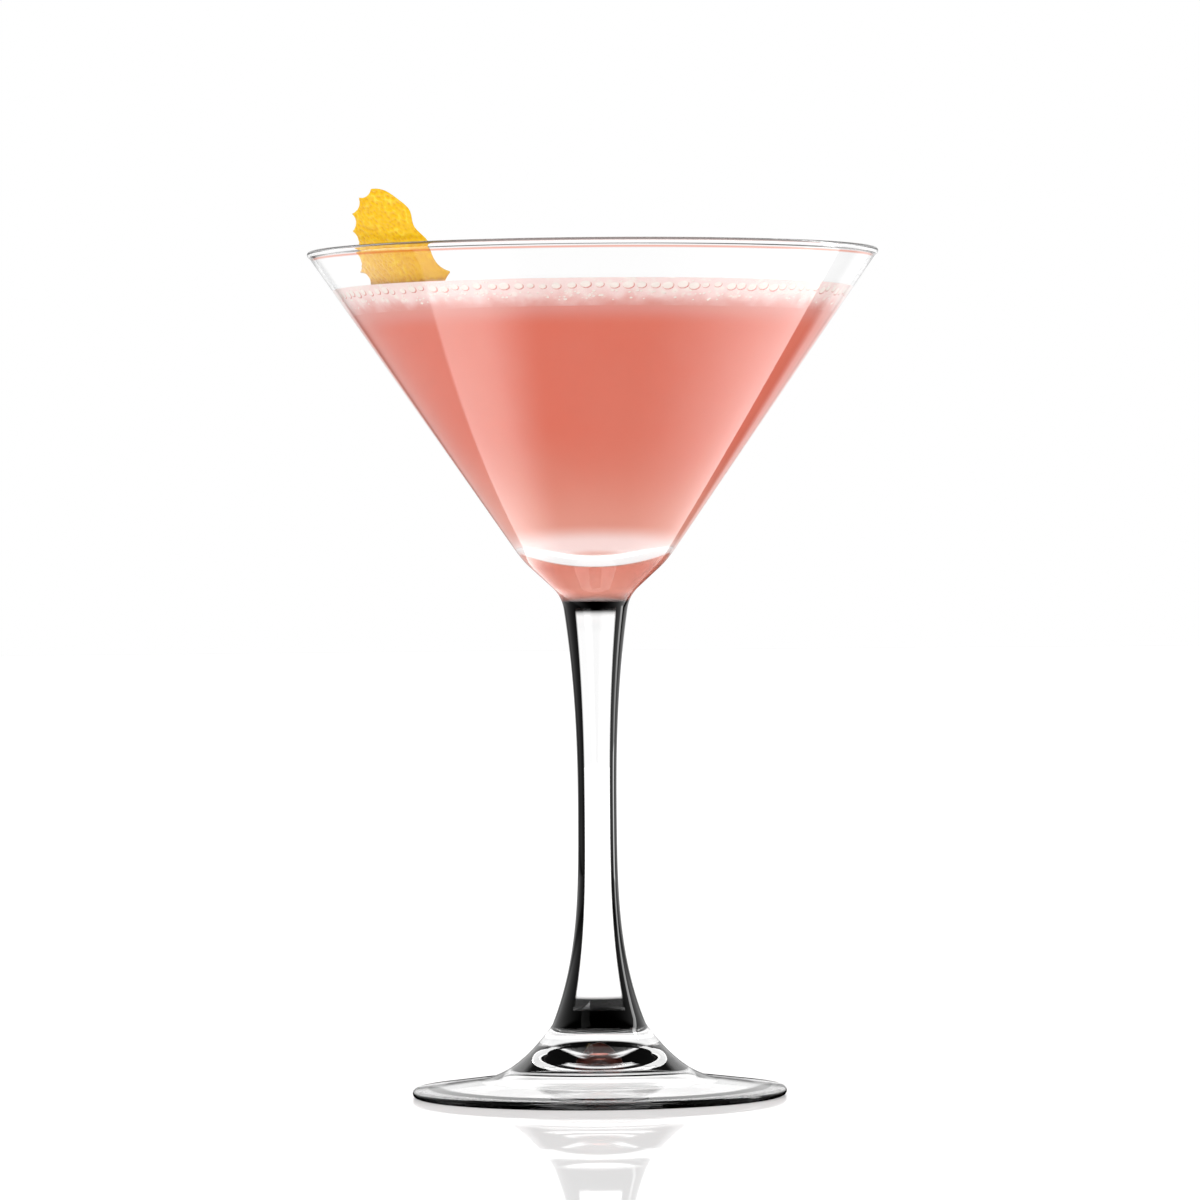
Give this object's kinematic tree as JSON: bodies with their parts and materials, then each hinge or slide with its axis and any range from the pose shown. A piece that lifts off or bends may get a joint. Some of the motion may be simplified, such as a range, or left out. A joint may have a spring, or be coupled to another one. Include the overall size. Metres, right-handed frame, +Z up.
{
  "type": "pink cocktail in a stemmed cocktail glass",
  "caption": "Cone-shaped stemmed glass filled with a pink cocktail under a layer of foam, with a strip of lemon peel standing in it.",
  "frame": {"origin": "centre of the foot's resting ring, on the surface that the glass stands on", "axes": "+Z up along the glass's turning axis; the peel stands at -X, -Y in the bowl; the view of the drinker is along +Y"},
  "size_m": [0.1086, 0.1086, 0.1706],
  "materials": {
    "clear_glass": "clear, fire-polished",
    "pink_drink": "milky salmon-pink liquid",
    "pale_foam": "fine pale pink foam with bubbles",
    "lemon_zest": "yellow zest with fine pores, pale pith"
  },
  "bodies": {
    "root": {"glass": "clear_glass", "drink": "pink_drink", "foam": "pale_foam", "lemon_peel": "lemon_zest"}
  },
  "joints": []
}
